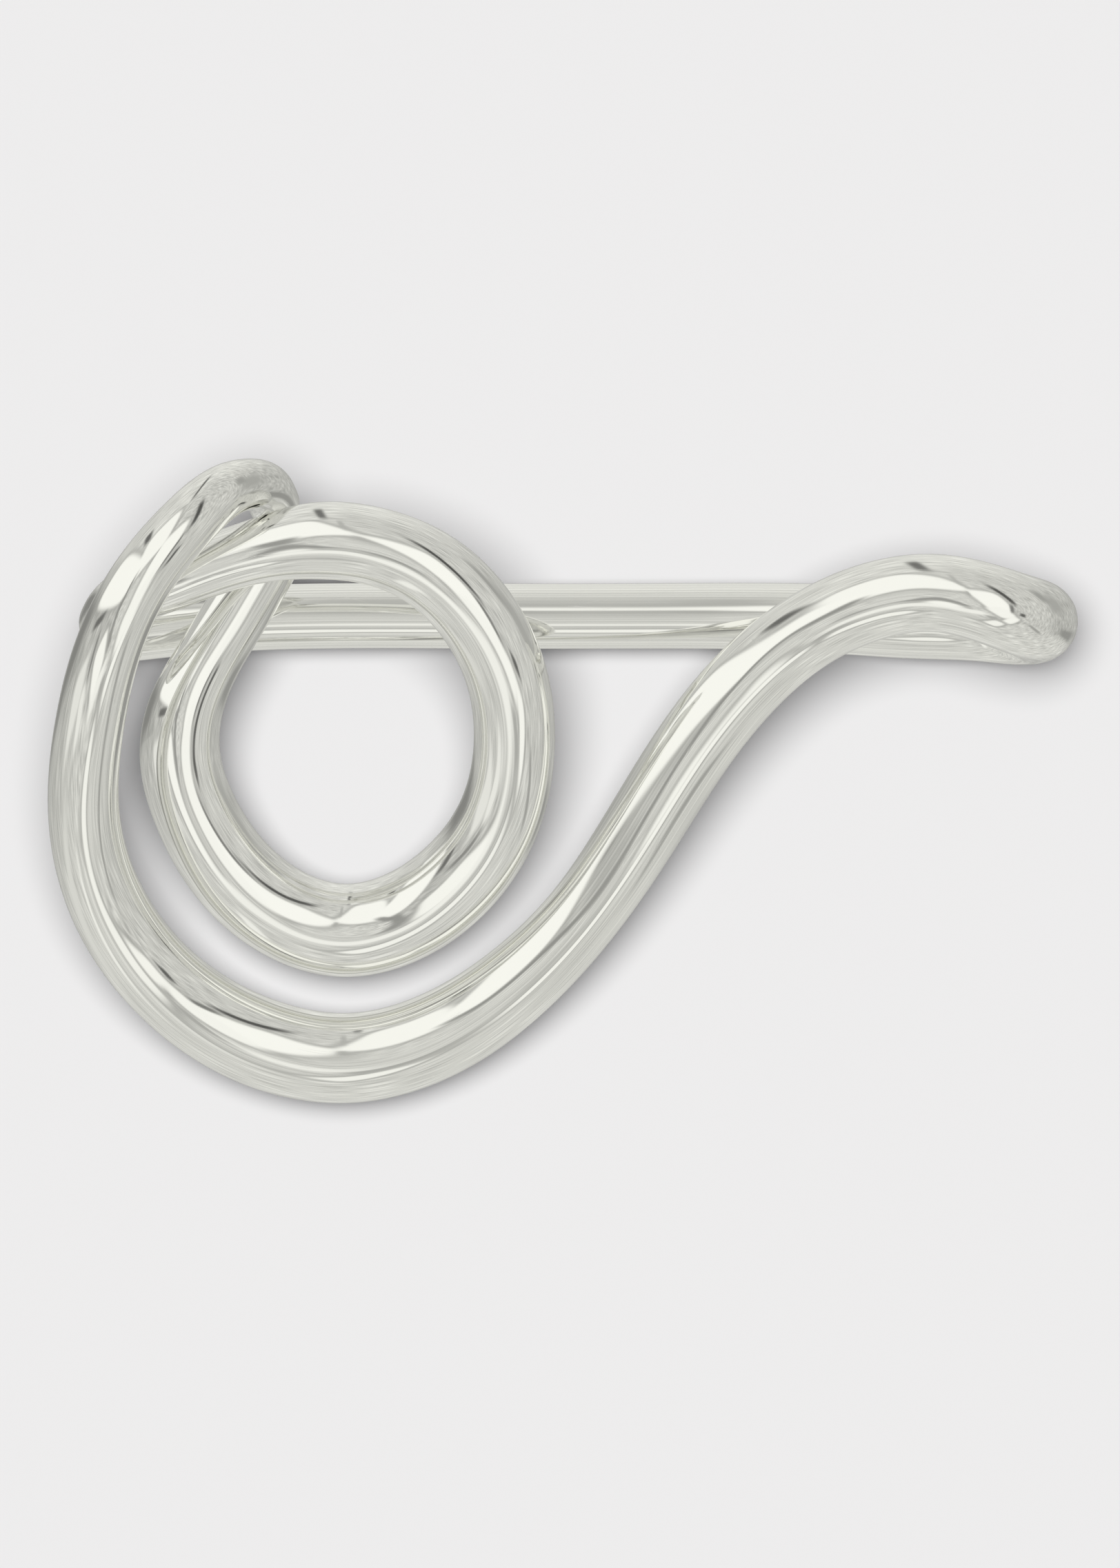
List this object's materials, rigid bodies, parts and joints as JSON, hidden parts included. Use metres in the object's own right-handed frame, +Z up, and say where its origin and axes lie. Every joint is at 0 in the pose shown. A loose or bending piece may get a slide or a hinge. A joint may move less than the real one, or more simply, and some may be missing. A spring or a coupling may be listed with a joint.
{
  "type": "metal ring disentanglement puzzle",
  "caption": "Disentanglement puzzle of bent polished rod: a looped frame with a straight back bar and a hook, and an open coiled ring that swings in the hook.",
  "frame": {"origin": "below the middle of the puzzle's outline, on the surface that it lies on", "axes": "+X along the straight bar towards the U-bend, +Y across the bar towards the hook, +Z up from the surface"},
  "size_m": [0.0658, 0.0412, 0.0184],
  "materials": {
    "frame_metal": "polished",
    "ring_metal": "polished"
  },
  "bodies": {
    "frame": {"looped_frame": "frame_metal"},
    "ring": {"open_ring": "ring_metal"}
  },
  "joints": [
    {"name": "ring_swing", "type": "hinge", "parent": "frame", "child": "ring", "pos_m": [-0.0192, 0.0149, 0.0121], "axis": [-0.866, -0.5, 0], "range_deg": [0, 95]}
  ]
}
